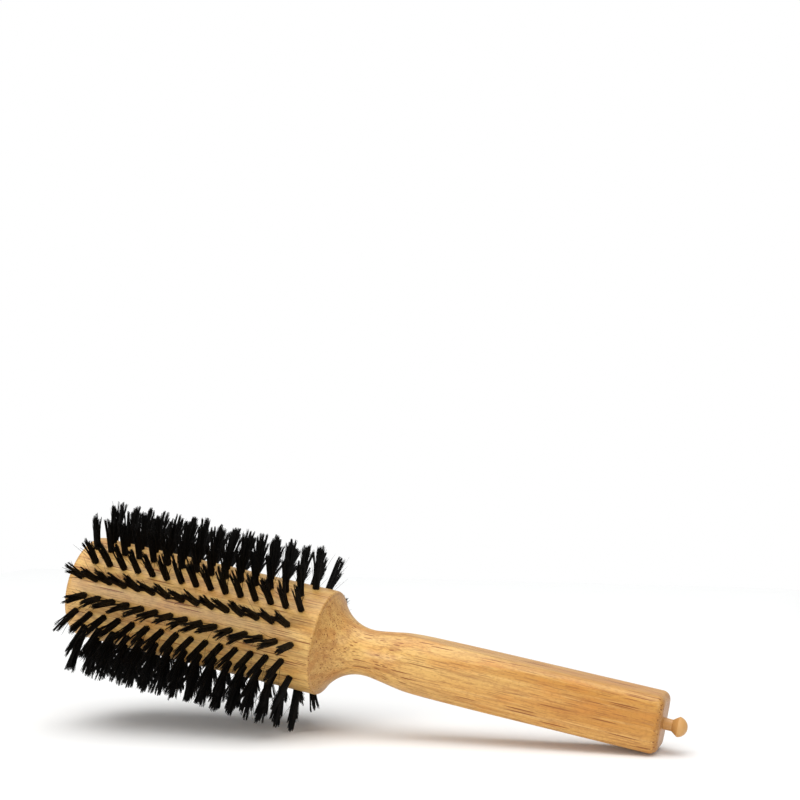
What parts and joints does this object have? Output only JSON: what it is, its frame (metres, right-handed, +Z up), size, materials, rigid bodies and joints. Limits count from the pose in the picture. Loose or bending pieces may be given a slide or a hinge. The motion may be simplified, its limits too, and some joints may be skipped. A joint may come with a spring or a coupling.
{
  "type": "round barrel brush",
  "caption": "Round hair brush with a turned wooden barrel set with staggered bristle tufts, a waisted squared handle and a pull-out sectioning pick in the handle's end.",
  "frame": {"origin": "centre of the head's flat end face, on the brush's axis", "axes": "+X out of the head's end face, so the handle reaches towards -X, +Z up with the brush lying on its bristles, +Y across; the handle's four flats face +-Y and +-Z"},
  "size_m": [0.2422, 0.0726, 0.0718],
  "materials": {
    "wood": "satin lacquer",
    "pick_plastic": "satin",
    "anchor_metal": "plain",
    "bristle": "satin"
  },
  "bodies": {
    "brush": {"wooden_body": "wood", "tuft_anchors": "anchor_metal", "bristle_row_01": "bristle", "bristle_row_02": "bristle", "bristle_row_03": "bristle", "bristle_row_04": "bristle", "bristle_row_05": "bristle", "bristle_row_06": "bristle", "bristle_row_07": "bristle", "bristle_row_08": "bristle", "bristle_row_09": "bristle", "bristle_row_10": "bristle", "bristle_row_11": "bristle", "bristle_row_12": "bristle", "bristle_row_13": "bristle", "bristle_row_14": "bristle", "bristle_row_15": "bristle", "bristle_row_16": "bristle", "bristle_row_17": "bristle", "bristle_row_18": "bristle"},
    "pick": {"sectioning_pick": "pick_plastic"}
  },
  "joints": [
    {"name": "pick_slide", "type": "slide", "parent": "brush", "child": "pick", "axis": [-1, 0, 0], "range_m": [0, 0.079]}
  ]
}
